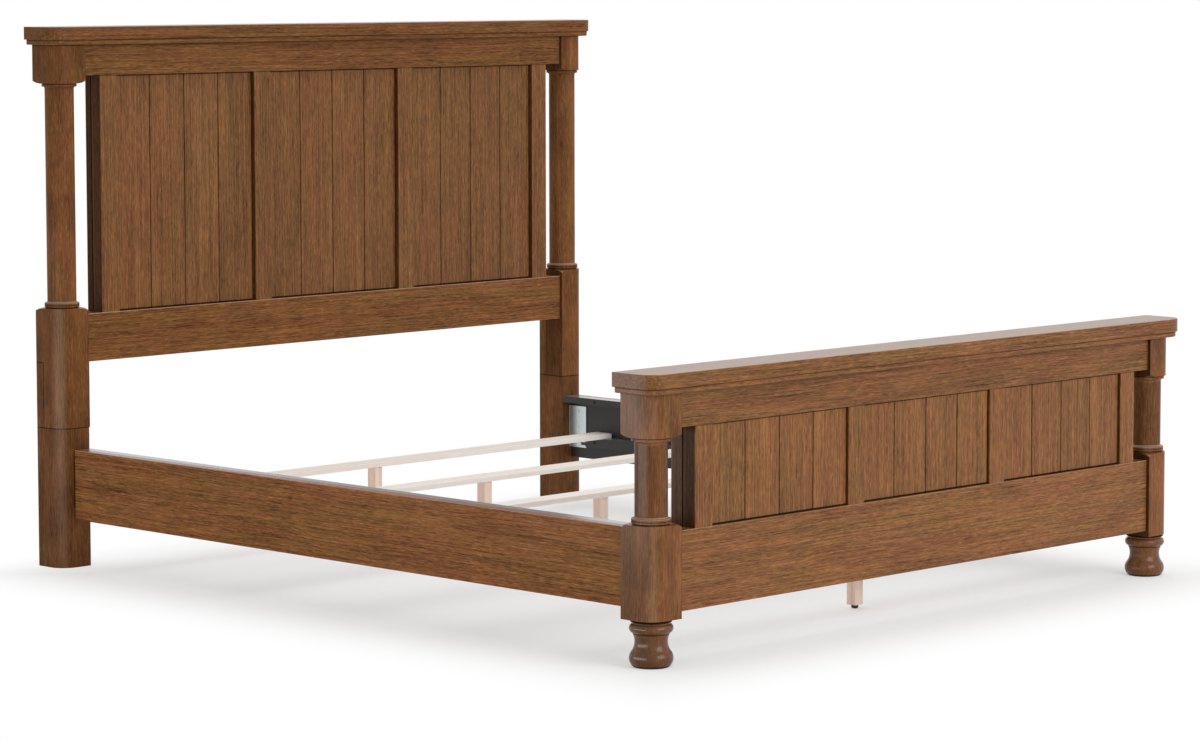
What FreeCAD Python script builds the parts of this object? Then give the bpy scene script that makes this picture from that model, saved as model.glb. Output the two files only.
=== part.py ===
"""Poster bed with a planked headboard and footboard, side rails and supported slats.

The frame: X is the bed's width, +Y runs from the footboard to the headboard and +Z is up.
The origin is on the floor, under the centre of the bed's outer box. All lengths are in mm.
"""
import FreeCAD, Part
import math
import os

V = FreeCAD.Vector

# Mattress that the bed takes, and the room left round it
mattress_width = 1829.0
mattress_length = 2134.0
mattress_side_clearance = 7.5
mattress_end_clearance = 13.0

# Posts: a square blank, turned to a round column between two blocks
post_width = 104.0
post_corner_radius = 51.0
post_edge_radius = 1.5
column_diameter = 80.0
shoulder_diameter = 100.0
shoulder_rise = 8.5
upper_block_height = 106.5

# Rings turned at the column's ends
ring_diameter = 95.6
ring_neck_diameter = 90.0
ring_cove_height = 3.5
ring_lower_bead = 4.5
ring_groove_height = 1.0
ring_groove_depth = 1.5
ring_upper_bead = 6.5
ring_bead_round = 2.5
flare_height = 4.0
collar_diameter = 96.0
collar_neck_diameter = 92.0
collar_gap = 1.5
collar_height = 6.5
collar_flare_height = 5.0

# Heights of the two ends
head_height = 1496.0
foot_height = 706.0
head_lower_block_top = 720.5
foot_lower_block_top = 342.0
foot_block_bottom = 114.0

# Crown: a thick board over a smaller moulding
crown_board_thickness = 35.5
crown_moulding_thickness = 14.0
crown_side_overhang = 22.0
crown_front_overhang = 21.0
crown_back_overhang = 7.0
crown_corner_radius = 50.0
crown_edge_radius = 2.0
crown_arris_radius = 1.5
moulding_inset = 4.8
moulding_lower_round = 3.0

# Rails of the headboard and footboard
top_rail_height = 85.5
head_bottom_rail_height = 133.5
foot_bottom_rail_height = 194.5
bottom_rail_drop = 18.0
rail_setback = 9.0
rail_edge_radius = 1.5
tenon_thickness = 30.0
tenon_length = 40.0
tenon_shoulder = 14.0
tenon_clearance = 0.3
mortise_extra_depth = 1.0

# Framed panels: front stiles, planks, a plywood core and rear stiles
stile_count = 4
stile_width = 60.0
stile_thickness = 35.0
stile_setback = 1.5
stile_edge_radius = 2.0
stile_tenon_length = 10.0
stile_tenon_thickness = 16.0
stile_tenon_shoulder = 10.0
stub_clearance = 0.3
panel_edge_gap = 57.5
planks_per_bay = 4
head_plank_relief = 14.0
foot_plank_relief = 8.5
plank_gap = 0.6
plank_end_clearance = 0.5
plank_chamfer = 2.2
core_thickness = 5.0
core_groove_depth = 8.0
core_clearance = 0.2
rear_groove_width = 5.5
rear_groove_depth = 8.0
head_rear_stile_thickness = 22.5
foot_rear_stile_thickness = 36.0

# Leg that is half-lapped under each headboard post
leg_seam_height = 388.0
leg_tongue_thickness = 32.0
leg_inner_inset = 3.0
lap_clearance = 0.3
leg_bottom_chamfer = 1.2
lap_bolt_diameter = 10.0
lap_bolt_head_diameter = 22.0
lap_bolt_head_height = 4.0
lap_bolt_length = 80.0
lap_bolt_margin = 45.0

# Turned bun feet under the footboard posts
bun_diameter = 107.4
bun_bulb_radius = 26.0
bun_bulb_height = 21.0
bun_neck_diameter = 80.3
bun_neck_radius = 40.0
bun_fillet_diameter = 88.6
bun_fillet_bottom = 79.0
bun_torus_height = 93.3
bun_torus_radius = 12.3
bun_torus_diameter = 106.8
bun_neck_top_diameter = 92.0
bun_disc_diameter = 100.0
bun_disc_thickness = 5.0
bun_bolt_diameter = 10.0
bun_bolt_length = 90.0
bun_bolt_depth = 45.0

# Side rails: an oak board with a top batten and a ledge screwed inside it
board_thickness = 22.0
side_rail_height = 194.0
side_rail_bottom = 134.0
side_rail_end_gap = 3.0
side_rail_edge_radius = 2.0
batten_height = 20.0
ledge_height = 29.5
ledge_top = 207.0
ledge_end_gap = 97.0
batten_depth = 36.0
batten_edge_radius = 1.0
rail_screw_count = 6
rail_screw_end_distance = 139.0
rail_screw_diameter = 5.0
rail_screw_head_diameter = 9.0
rail_screw_head_height = 3.0
rail_screw_sink = 2.0
rail_screw_grip = 14.0

# Steel plates that hook the side rails into the posts
plate_height = 129.0
plate_bottom = 167.0
plate_reach = 68.0
plate_thickness = 3.0
plate_end_thickness = 2.4
plate_end_width = 23.0
plate_notch_height = 9.0
plate_notch_width = 22.0
plate_notch_bottom = 8.0
hook_count = 2
hook_thickness = 3.0
hook_neck_height = 16.0
hook_lip_drop = 8.0
hook_lip_thickness = 5.0
hook_play = 0.5
hook_pitch = 55.0
hook_first_height = 190.0
hook_inset = 10.0
slot_plate_thickness = 2.5
slot_plate_width = 26.0
slot_extra_height = 10.0
pocket_depth = 14.0
pocket_side_room = 3.0
plate_screw_diameter = 4.0
plate_screw_head_diameter = 8.0
plate_screw_head_height = 1.6
plate_screw_grip = 14.0
plate_screw_margin = 17.0

# Slats, each on a middle leg with a levelling glide
slat_count = 5
slat_width = 64.0
slat_thickness = 15.0
slat_end_distance = 152.0
slat_end_clearance = 3.0
slat_edge_radius = 2.0
slat_screw_diameter = 4.5
slat_screw_head_diameter = 9.0
slat_screw_head_height = 2.5
slat_screw_grip = 18.0
slat_leg_width = 30.0
slat_leg_bottom = 10.0
slat_leg_edge_radius = 1.0
leg_bolt_diameter = 6.0
leg_bolt_depth = 60.0
leg_bolt_head_diameter = 11.0
leg_bolt_head_height = 4.0
leg_bolt_cap_diameter = 17.0
leg_bolt_cap_height = 3.0
leg_bolt_cap_round = 0.8
insert_diameter = 14.0
insert_length = 18.0
insert_flange_diameter = 20.0
insert_flange_thickness = 1.5
glide_stem_diameter = 8.0
glide_running_clearance = 0.25
glide_stem_height = 42.0
glide_bore_extra = 12.0
glide_bore_clearance = 1.0
glide_pad_diameter = 19.0
glide_pad_bottom_diameter = 12.0
glide_pad_upright_height = 4.5

# Dowels between the posts and the crown
dowel_diameter = 12.0
dowel_depth = 24.0
dowel_clearance = 0.1

# Small working values
hole_clearance = 0.1
cut_overrun = 2.0
seat_gap = 0.2

# Places worked out from the sizes above
clear_width = mattress_width + 2 * mattress_side_clearance
rail_length = mattress_length + 2 * mattress_end_clearance
post_half = post_width / 2
post_x = clear_width / 2 + post_half
centre_y = (crown_front_overhang - crown_back_overhang) / 2
head_y = centre_y + (rail_length + post_width) / 2
foot_y = centre_y - (rail_length + post_width) / 2
crown_thickness = crown_board_thickness + crown_moulding_thickness
head_post_top = head_height - crown_thickness
foot_post_top = foot_height - crown_thickness
head_bottom_rail_top = head_lower_block_top - bottom_rail_drop
head_bottom_rail_bottom = head_bottom_rail_top - head_bottom_rail_height
foot_bottom_rail_top = foot_lower_block_top - bottom_rail_drop
foot_bottom_rail_bottom = foot_bottom_rail_top - foot_bottom_rail_height
panel_width = clear_width - 2 * panel_edge_gap
bay_count = stile_count - 1
bay_width = (panel_width - stile_count * stile_width) / bay_count
board_inner_x = clear_width / 2 + batten_depth
side_rail_top = side_rail_bottom + side_rail_height
rail_end_foot = foot_y + post_half + side_rail_end_gap
rail_end_head = head_y - post_half - side_rail_end_gap
slat_top = ledge_top + slat_thickness
slat_half_length = board_inner_x - slat_end_clearance
slat_pitch = (rail_length - 2 * slat_end_distance) / (slat_count - 1)


def box(x0, x1, y0, y1, z0, z1):
    """A plain box between two corners, given in any order."""
    low = V(min(x0, x1), min(y0, y1), min(z0, z1))
    return Part.makeBox(abs(x1 - x0), abs(y1 - y0), abs(z1 - z0), low)


def eased_box(x0, x1, y0, y1, z0, z1, radius):
    """A board whose twelve edges are rounded a little."""
    board = box(x0, x1, y0, y1, z0, z1)
    return board.makeFillet(radius, board.Edges)


def rounded_prism(x0, x1, y0, y1, z0, z1, radii):
    """An upright prism. The radii are for the corners (x0,y0), (x1,y0), (x1,y1), (x0,y1)."""
    corners = ((x0, y0, 1, 1), (x1, y0, -1, 1), (x1, y1, -1, -1), (x0, y1, 1, -1))
    half_turn_share = 1 - math.cos(math.pi / 4)
    stops = []
    edges = []
    for index, (cx, cy, sx, sy) in enumerate(corners):
        r = radii[index]
        along_x = V(cx + sx * r, cy, z0)
        along_y = V(cx, cy + sy * r, z0)
        start, end = (along_y, along_x) if sx * sy > 0 else (along_x, along_y)
        if r > 0:
            middle = V(cx + sx * r * half_turn_share, cy + sy * r * half_turn_share, z0)
            edges.append(Part.Arc(start, middle, end).toShape())
        stops.append((start, end))
    for index in range(len(stops)):
        edges.append(Part.makeLine(stops[index - 1][1], stops[index][0]))
    face = Part.Face(Part.Wire(Part.__sortEdges__(edges)))
    return face.extrude(V(0, 0, z1 - z0))


def rod(diameter, start, end):
    """A round bar from one point to another."""
    along = end.sub(start)
    return Part.makeCylinder(diameter / 2, along.Length, start, along)


def turned(outline, x, y):
    """Turn an outline about an upright axis. It is a list of (r, z) points.

    An entry of two points is an arc: a point on the way, and the point where it ends.
    """
    edges = []
    here = outline[0]
    for entry in outline[1:] + [outline[0]]:
        if isinstance(entry[0], tuple):
            middle, there = entry
            arc = Part.Arc(V(here[0], 0, here[1]), V(middle[0], 0, middle[1]),
                           V(there[0], 0, there[1]))
            edges.append(arc.toShape())
        else:
            there = entry
            edges.append(Part.makeLine(V(here[0], 0, here[1]), V(there[0], 0, there[1])))
        here = there
    solid = Part.Face(Part.Wire(edges)).revolve(V(0, 0, 0), V(0, 0, 1), 360)
    solid.translate(V(x, y, 0))
    return solid


def quarter(start, end, level_first):
    """A quarter curve between two (r, z) points, as an arc entry. It sets off level or upright."""
    most_share = math.sin(math.pi / 4)
    least_share = 1 - most_share
    r_share, z_share = (most_share, least_share) if level_first else (least_share, most_share)
    middle = (start[0] + (end[0] - start[0]) * r_share, start[1] + (end[1] - start[1]) * z_share)
    return (middle, end)


def mirrored(shape):
    """The same piece on the bed's other side."""
    return shape.mirror(V(0, 0, 0), V(1, 0, 0))


def save(name, shapes):
    """Write one node, made of one solid or of several separate ones."""
    solids = []
    for shape in shapes if isinstance(shapes, list) else [shapes]:
        solids.extend(shape.Solids)
    piece = solids[0] if len(solids) == 1 else Part.makeCompound(solids)
    piece.exportStep("parts/" + name + ".step")
    bad = [solid for solid in solids if not solid.isValid() or solid.Volume <= 0]
    print(name, len(solids), "solids", "BAD" if bad else "")


# The turned outline of a post

def shoulder_drop(r):
    """How far the turned shoulder has fallen away at radius r."""
    reach = post_half * math.sqrt(2) - shoulder_diameter / 2
    round_radius = (reach ** 2 + shoulder_rise ** 2) / (2 * shoulder_rise)
    out = r - shoulder_diameter / 2
    return round_radius - math.sqrt(round_radius ** 2 - out ** 2)


def post_outline(bottom, lower_block_top, top):
    """The lathe's path along a whole post."""
    blank = post_half * math.sqrt(2) + post_edge_radius
    shoulder = shoulder_diameter / 2
    between = (blank + shoulder) / 2
    column = column_diameter / 2
    ring = ring_diameter / 2
    groove = ring - ring_groove_depth
    collar = collar_diameter / 2
    z = lower_block_top
    outline = [(0, bottom), (blank, bottom), (blank, z - shoulder_drop(blank)),
               ((between, z - shoulder_drop(between)), (shoulder, z)),
               (ring_neck_diameter / 2, z)]
    z = z + ring_cove_height
    outline += [(ring_neck_diameter / 2, z), (ring, z)]
    z = z + ring_lower_bead
    outline += [(ring, z), (groove, z)]
    z = z + ring_groove_height
    outline += [(groove, z), (ring, z), (ring, z + ring_upper_bead - ring_bead_round)]
    z = z + ring_upper_bead
    bead_top = (ring - ring_bead_round, z)
    outline.append(quarter(outline[-1], bead_top, False))
    outline.append(quarter(bead_top, (column, z + flare_height), True))
    z = top - upper_block_height
    collar_bottom = z - collar_gap - collar_height
    neck_bottom = (column, collar_bottom - collar_flare_height)
    outline += [neck_bottom, quarter(neck_bottom, (collar, collar_bottom), False),
                (collar, z - collar_gap), (collar_neck_diameter / 2, z - collar_gap),
                (collar_neck_diameter / 2, z), (shoulder, z),
                ((between, z + shoulder_drop(between)), (blank, z + shoulder_drop(blank))),
                (blank, top), (0, top)]
    return outline


def post_blank(y, z0, z1, inner_inset=0):
    """The left post's square blank, with its large round on the outer front corner."""
    radii = (post_corner_radius, post_edge_radius, post_edge_radius, post_edge_radius)
    return rounded_prism(-post_x - post_half, -post_x + post_half - inner_inset,
                         y - post_half, y + post_half, z0, z1, radii)


def rail_middle_y(post_y, depth):
    """The middle of a rail of this depth, set back from its post's front."""
    return post_y - post_half + rail_setback + depth / 2


def mortise(post_y, depth, z0, z1):
    """The pocket in the left post that takes a rail's tenon."""
    half = tenon_thickness / 2 + tenon_clearance
    middle = rail_middle_y(post_y, depth)
    inner = -post_x + post_half
    return box(inner - tenon_length - mortise_extra_depth, inner + cut_overrun,
               middle - half, middle + half,
               z0 + tenon_shoulder - tenon_clearance, z1 - tenon_shoulder + tenon_clearance)


def dowel_hole(y, z0, z1):
    """A hole on the left post's axis for its crown dowel."""
    return rod(dowel_diameter + 2 * dowel_clearance, V(-post_x, y, z0), V(-post_x, y, z1))


# Steel plates at the left rail's ends. The side is +1 at the headboard and -1 at the footboard

def post_face(side):
    """Where the post's face is, at either end of the side rail."""
    return head_y - post_half if side > 0 else foot_y + post_half


def rail_end(side):
    """Where the side rail's board ends."""
    return rail_end_head if side > 0 else rail_end_foot


hook_x = -(board_inner_x - plate_thickness + hook_inset)


def hook_heights():
    """The bottoms of the hooks' necks."""
    return [hook_first_height + index * hook_pitch for index in range(hook_count)]


def hook_plate(side):
    """A plate bent round the rail's end, with hooks that drop into the post."""
    inner = -(board_inner_x - plate_thickness)
    end = rail_end(side)
    top = plate_bottom + plate_height
    face_leg = box(inner, -board_inner_x, end - side * plate_reach, end + side * seat_gap,
                   plate_bottom, top)
    notch_top = plate_bottom + plate_notch_bottom + plate_notch_height
    face_leg = face_leg.cut(box(inner + cut_overrun, -board_inner_x - cut_overrun,
                                end - side * (plate_reach + cut_overrun),
                                end - side * (plate_reach - plate_notch_width),
                                plate_bottom + plate_notch_bottom, notch_top))
    end_far = end + side * (seat_gap + plate_end_thickness)
    plate = face_leg.fuse(box(inner, inner - plate_end_width, end + side * seat_gap, end_far,
                              plate_bottom, top))
    back = post_face(side) + side * slot_plate_thickness
    for z in hook_heights():
        neck = box(hook_x, hook_x - hook_thickness, end_far,
                   back + side * (hook_play + hook_lip_thickness), z, z + hook_neck_height)
        lip = box(hook_x, hook_x - hook_thickness, back + side * hook_play,
                  back + side * (hook_play + hook_lip_thickness), z - hook_lip_drop,
                  z + hook_neck_height)
        plate = plate.fuse(neck).fuse(lip)
    for hole in plate_screw_holes(side, plate_screw_diameter + 2 * hole_clearance):
        plate = plate.cut(hole)
    return plate.removeSplitter()


def plate_screw_places(side):
    """Where the screws through the plate's face leg are, as (y, z)."""
    reach = plate_reach / 2
    heights = (plate_bottom + 2 * plate_screw_margin, plate_bottom + plate_height / 2,
               plate_bottom + plate_height - plate_screw_margin)
    return [(rail_end(side) - side * reach, z) for z in heights]


def plate_screw_holes(side, diameter):
    """Holes through the face leg and into the board."""
    inner = -(board_inner_x - plate_thickness)
    return [rod(diameter, V(inner + cut_overrun, y, z), V(-board_inner_x - plate_screw_grip, y, z))
            for y, z in plate_screw_places(side)]


def slot_plate_box(side, room):
    """The space of the slotted plate that is let into the post."""
    face = post_face(side)
    middle = hook_x - hook_thickness / 2
    half = slot_plate_width / 2 + room
    back = face + side * slot_plate_thickness
    return box(middle - half, middle + half, face - side * room, back,
               plate_bottom - room, plate_bottom + plate_height + room)


def slot_plate(side):
    """The slotted plate in the post."""
    plate = slot_plate_box(side, 0)
    face = post_face(side)
    far = face + side * (slot_plate_thickness + cut_overrun)
    for z in hook_heights():
        plate = plate.cut(box(hook_x + hook_play, hook_x - hook_thickness - hook_play,
                              face - side * cut_overrun, far, z - seat_gap,
                              z + hook_neck_height + slot_extra_height))
    for start, end in slot_screw_lines(side):
        plate = plate.cut(rod(plate_screw_diameter + 2 * hole_clearance, start, end))
        plate = plate.cut(slot_screw_head(side, start, hole_clearance))
    return plate


def slot_screw_lines(side):
    """The slotted plate's two screws, each from its head to its tip."""
    face = post_face(side)
    x = hook_x - hook_thickness / 2
    edge = plate_screw_head_diameter / 2 + plate_screw_head_height
    heights = (plate_bottom + edge, plate_bottom + plate_height - edge)
    tip = face + side * (slot_plate_thickness + plate_screw_grip)
    return [(V(x, face, z), V(x, tip, z)) for z in heights]


def slot_screw_head(side, start, room):
    """A flat head that lies flush with the plate."""
    radius = plate_screw_head_diameter / 2 + room
    end = V(start.x, start.y + side * plate_screw_head_height, start.z)
    flush = V(start.x, start.y - side * room, start.z)
    return rod(2 * radius, flush, end)


def post_hardware_cut(side):
    """What is cut from the left post for its slotted plate, hooks and screws."""
    back = post_face(side) + side * slot_plate_thickness
    cuts = [slot_plate_box(side, hole_clearance)]
    for z in hook_heights():
        cuts.append(box(hook_x + pocket_side_room, hook_x - hook_thickness - pocket_side_room,
                        back, back + side * pocket_depth,
                        z - hook_lip_drop - pocket_side_room,
                        z + hook_neck_height + slot_extra_height + pocket_side_room))
    for start, end in slot_screw_lines(side):
        cuts.append(rod(plate_screw_diameter + 2 * hole_clearance, start, end))
    return cuts


# Headboard and footboard posts

def rail_depth(rear_stile_thickness):
    """How deep the rails are: the framed panel and a small step at each face."""
    panel = stile_thickness + core_thickness + rear_groove_width + rear_stile_thickness
    return panel + 2 * stile_setback


head_rail_depth = rail_depth(head_rear_stile_thickness)
foot_rail_depth = rail_depth(foot_rear_stile_thickness)


def lap_bolt_heights():
    """The two bolts through each half lap."""
    return (leg_seam_height + lap_bolt_margin, head_bottom_rail_bottom - lap_bolt_margin)


def lap_bolt_line(z):
    """A lap bolt's axis, from the leg's rear face forwards."""
    back = head_y + post_half
    return V(-post_x, back, z), V(-post_x, back - lap_bolt_length, z)


def head_post():
    """The left headboard post, notched at its foot for the leg's tongue."""
    post = post_blank(head_y, leg_seam_height, head_post_top)
    lathe = turned(post_outline(leg_seam_height, head_lower_block_top, head_post_top),
                   -post_x, head_y)
    post = post.common(lathe)
    notch_front = head_y + post_half - leg_tongue_thickness - lap_clearance
    cuts = [box(-post_x - post_width, -post_x + post_width, notch_front,
                head_y + post_width, leg_seam_height - cut_overrun,
                head_bottom_rail_bottom + lap_clearance),
            mortise(head_y, head_rail_depth, head_bottom_rail_bottom, head_bottom_rail_top),
            mortise(head_y, head_rail_depth, head_post_top - top_rail_height, head_post_top),
            dowel_hole(head_y, head_post_top - dowel_depth, head_post_top + cut_overrun)]
    for z in lap_bolt_heights():
        start, end = lap_bolt_line(z)
        cuts.append(rod(lap_bolt_diameter + 2 * hole_clearance, start, end))
    return cut_all(post, cuts)


def cut_all(shape, cuts):
    """Take several shapes away from one."""
    return shape.cut(Part.makeCompound(cuts))


def head_leg():
    """The left headboard leg: a square foot, and a tongue that laps behind the post."""
    foot = post_blank(head_y, 0, leg_seam_height, leg_inner_inset)
    bottom = [edge for edge in foot.Edges if edge.BoundBox.ZMax < leg_bottom_chamfer / 2]
    foot = foot.makeChamfer(leg_bottom_chamfer, bottom)
    tongue = rounded_prism(-post_x - post_half, -post_x + post_half - leg_inner_inset,
                           head_y + post_half - leg_tongue_thickness, head_y + post_half,
                           leg_seam_height, head_bottom_rail_bottom,
                           (0, 0, post_edge_radius, post_edge_radius))
    leg = foot.fuse(tongue)
    cuts = post_hardware_cut(1)
    for z in lap_bolt_heights():
        start, end = lap_bolt_line(z)
        cuts.append(rod(lap_bolt_diameter + 2 * hole_clearance, start, end))
    return cut_all(leg, cuts).removeSplitter()


def foot_post():
    """The left footboard post."""
    post = post_blank(foot_y, foot_block_bottom, foot_post_top)
    lathe = turned(post_outline(foot_block_bottom, foot_lower_block_top, foot_post_top),
                   -post_x, foot_y)
    post = post.common(lathe)
    cuts = [mortise(foot_y, foot_rail_depth, foot_bottom_rail_bottom, foot_bottom_rail_top),
            mortise(foot_y, foot_rail_depth, foot_post_top - top_rail_height, foot_post_top),
            dowel_hole(foot_y, foot_post_top - dowel_depth, foot_post_top + cut_overrun),
            bun_bolt(hole_clearance)]
    return cut_all(post, cuts + post_hardware_cut(-1))


def bun_bolt(room):
    """The stud that joins the left bun foot to its post."""
    bottom = foot_block_bottom - bun_bolt_depth
    return rod(bun_bolt_diameter + 2 * room, V(-post_x, foot_y, bottom - room),
               V(-post_x, foot_y, bottom + bun_bolt_length + room))


def bun_foot():
    """The left bun foot: a bulb, a hollow neck, a torus and a thin disc under the block."""
    bulb_r = bun_diameter / 2 - bun_bulb_radius
    neck_r = bun_neck_diameter / 2 + bun_neck_radius
    reach = bun_bulb_radius + bun_neck_radius
    neck_z = bun_bulb_height + math.sqrt(reach ** 2 - (neck_r - bulb_r) ** 2)
    bulb_share = bun_bulb_radius / reach
    meet = (bulb_r + (neck_r - bulb_r) * bulb_share,
            bun_bulb_height + (neck_z - bun_bulb_height) * bulb_share)
    base_r = bulb_r + math.sqrt(bun_bulb_radius ** 2 - bun_bulb_height ** 2)
    fillet_r = bun_fillet_diameter / 2
    neck_end = (neck_r - math.sqrt(bun_neck_radius ** 2 - (bun_fillet_bottom - neck_z) ** 2),
                bun_fillet_bottom)
    torus_r = bun_torus_diameter / 2 - bun_torus_radius
    top_r = bun_neck_top_diameter / 2
    torus_low = bun_torus_height - math.sqrt(bun_torus_radius ** 2 - (fillet_r - torus_r) ** 2)
    torus_high = bun_torus_height + math.sqrt(bun_torus_radius ** 2 - (top_r - torus_r) ** 2)
    disc = foot_block_bottom - bun_disc_thickness
    outline = [(0, 0), (base_r, 0),
               ((bun_diameter / 2, bun_bulb_height), meet),
               ((bun_neck_diameter / 2, neck_z), neck_end),
               (fillet_r, bun_fillet_bottom), (fillet_r, torus_low),
               ((bun_torus_diameter / 2, bun_torus_height), (top_r, torus_high)),
               (top_r, disc), (bun_disc_diameter / 2, disc),
               (bun_disc_diameter / 2, foot_block_bottom), (0, foot_block_bottom)]
    return turned(outline, -post_x, foot_y).cut(bun_bolt(hole_clearance))


# Crowns

def crown_piece(post_y, z0, z1, inset, edges_at):
    """A crown board or moulding over both posts, with its two front corners rounded."""
    side = post_x + post_half + crown_side_overhang - inset
    corner = crown_corner_radius - inset
    piece = rounded_prism(-side, side, post_y - post_half - crown_front_overhang + inset,
                          post_y + post_half + crown_back_overhang - inset, z0, z1,
                          (corner, corner, crown_edge_radius, crown_edge_radius))
    for z, radius in edges_at:
        arris = [edge for edge in piece.Edges
                 if abs(edge.BoundBox.ZMin - z) + abs(edge.BoundBox.ZMax - z) < crown_arris_radius]
        piece = piece.makeFillet(radius, arris)
    return piece


def crown_board(post_y, top):
    """The thick upper board of a crown."""
    bottom = top - crown_board_thickness
    board = crown_piece(post_y, bottom, top, 0,
                        [(top, crown_arris_radius), (bottom, crown_arris_radius)])
    return cut_all(board, crown_dowel_holes(post_y, top))


def crown_moulding(post_y, top):
    """The smaller moulding under it."""
    upper = top - crown_board_thickness
    bottom = upper - crown_moulding_thickness
    moulding = crown_piece(post_y, bottom, upper, moulding_inset, [(bottom, moulding_lower_round)])
    return cut_all(moulding, crown_dowel_holes(post_y, top))


def crown_dowel_ends(top):
    """The bottom and top of a crown dowel."""
    post_top = top - crown_thickness
    return post_top - dowel_depth + dowel_clearance, post_top + dowel_depth


def crown_dowel_holes(post_y, top):
    """The dowel holes of a crown."""
    low, high = crown_dowel_ends(top)
    hole = dowel_hole(post_y, low, high + dowel_clearance)
    return [hole, mirrored(hole)]


def crown_dowels():
    """The four dowels."""
    pegs = []
    for post_y, top in ((head_y, head_height), (foot_y, foot_height)):
        low, high = crown_dowel_ends(top)
        peg = rod(dowel_diameter, V(-post_x, post_y, low), V(-post_x, post_y, high))
        pegs += [peg, mirrored(peg)]
    return pegs


# Rails and framed panels

def stile_left(index):
    """The left edge of a stile."""
    return -panel_width / 2 + index * (stile_width + bay_width)


def stile_tenon(x, front, z0, z1, room):
    """A stile's stub tenon, or with room the slot that takes it."""
    middle = x + stile_width / 2
    half = stile_width / 2 - stile_tenon_shoulder + room
    y = front + (stile_thickness - stile_tenon_thickness) / 2
    return box(middle - half, middle + half, y - room, y + stile_tenon_thickness + room, z0, z1)


def rear_tenon(x, rear_front, thickness, z0, z1, room):
    """A rear stile's stub tenon, which is as thick as half the stile."""
    middle = x + stile_width / 2
    half = stile_width / 2 - stile_tenon_shoulder + room
    y = rear_front + thickness / 4
    return box(middle - half, middle + half, y - room, y + thickness / 2 + room, z0, z1)


class End:
    """The measures of one end of the bed: the headboard or the footboard."""

    def __init__(self, post_y, post_top, low, high, plank_relief, rear_thickness):
        self.post_y = post_y
        self.post_top = post_top
        self.low_rail = (low, high)
        self.plank_relief = plank_relief
        self.rear_thickness = rear_thickness
        self.depth = rail_depth(rear_thickness)
        self.rail_front = post_y - post_half + rail_setback
        self.front = self.rail_front + stile_setback
        self.core = self.front + stile_thickness
        self.rear = self.core + core_thickness + rear_groove_width
        self.z0 = high
        self.z1 = post_top - top_rail_height

    def rail(self, z0, z1):
        """A rail with a tenon at each end."""
        half = clear_width / 2
        rail = eased_box(-half, half, self.rail_front, self.rail_front + self.depth, z0, z1,
                         rail_edge_radius)
        middle = rail_middle_y(self.post_y, self.depth)
        reach = half + tenon_length
        tenon = box(-reach, reach, middle - tenon_thickness / 2, middle + tenon_thickness / 2,
                    z0 + tenon_shoulder, z1 - tenon_shoulder)
        return rail.fuse(tenon)

    def slots(self, z0, z1):
        """The slots in a rail for the stiles' stub tenons and the core."""
        cuts = [box(-panel_width / 2 - core_clearance, panel_width / 2 + core_clearance,
                    self.core - core_clearance, self.core + core_thickness + core_clearance,
                    z0, z1)]
        for index in range(stile_count):
            x = stile_left(index)
            cuts.append(stile_tenon(x, self.front, z0, z1, stub_clearance))
            cuts.append(rear_tenon(x, self.rear, self.rear_thickness, z0, z1, stub_clearance))
        return cuts

    def bottom_rail(self):
        """The wide rail under the panel."""
        low, high = self.low_rail
        return cut_all(self.rail(low, high),
                       self.slots(high - stile_tenon_length - stub_clearance, high + cut_overrun))

    def top_rail(self):
        """The rail under the crown."""
        return cut_all(self.rail(self.z1, self.post_top),
                       self.slots(self.z1 - cut_overrun,
                                  self.z1 + stile_tenon_length + stub_clearance))

    def stiles(self):
        """The four front stiles."""
        made = []
        for index in range(stile_count):
            x = stile_left(index)
            stile = rounded_prism(x, x + stile_width, self.front, self.front + stile_thickness,
                                  self.z0, self.z1, (stile_edge_radius, stile_edge_radius, 0, 0))
            tenon = stile_tenon(x, self.front, self.z0 - stile_tenon_length,
                                self.z1 + stile_tenon_length, 0)
            made.append(stile.fuse(tenon))
        return made

    def rear_stiles(self):
        """The four rear stiles, each on a narrower strip that leaves a dark groove."""
        made = []
        for index in range(stile_count):
            x = stile_left(index)
            back = self.rear + self.rear_thickness
            stile = rounded_prism(x, x + stile_width, self.rear, back, self.z0, self.z1,
                                  (0, 0, stile_edge_radius, stile_edge_radius))
            strip = box(x + rear_groove_depth, x + stile_width - rear_groove_depth,
                        self.rear - rear_groove_width, self.rear, self.z0, self.z1)
            tenon = rear_tenon(x, self.rear, self.rear_thickness, self.z0 - stile_tenon_length,
                               self.z1 + stile_tenon_length, 0)
            made.append(stile.fuse(strip).fuse(tenon).removeSplitter())
        return made

    def core_panel(self):
        """The thin plywood behind the planks, held in the rails' grooves."""
        return box(-panel_width / 2, panel_width / 2, self.core, self.core + core_thickness,
                   self.z0 - core_groove_depth, self.z1 + core_groove_depth)

    def planks(self, bay):
        """The planks of one bay, with chamfers that make the fine grooves."""
        left = stile_left(bay) + stile_width
        gaps = planks_per_bay + 1
        width = (bay_width - gaps * plank_gap) / planks_per_bay
        front = self.front + self.plank_relief
        made = []
        for index in range(planks_per_bay):
            x0 = left + plank_gap + index * (width + plank_gap)
            x1 = x0 + width
            z = self.z0 + plank_end_clearance
            corners = [V(x0, self.core, z), V(x1, self.core, z), V(x1, front + plank_chamfer, z),
                       V(x1 - plank_chamfer, front, z), V(x0 + plank_chamfer, front, z),
                       V(x0, front + plank_chamfer, z)]
            face = Part.Face(Part.makePolygon(corners + corners[:1]))
            made.append(face.extrude(V(0, 0, self.z1 - self.z0 - 2 * plank_end_clearance)))
        return made


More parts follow.
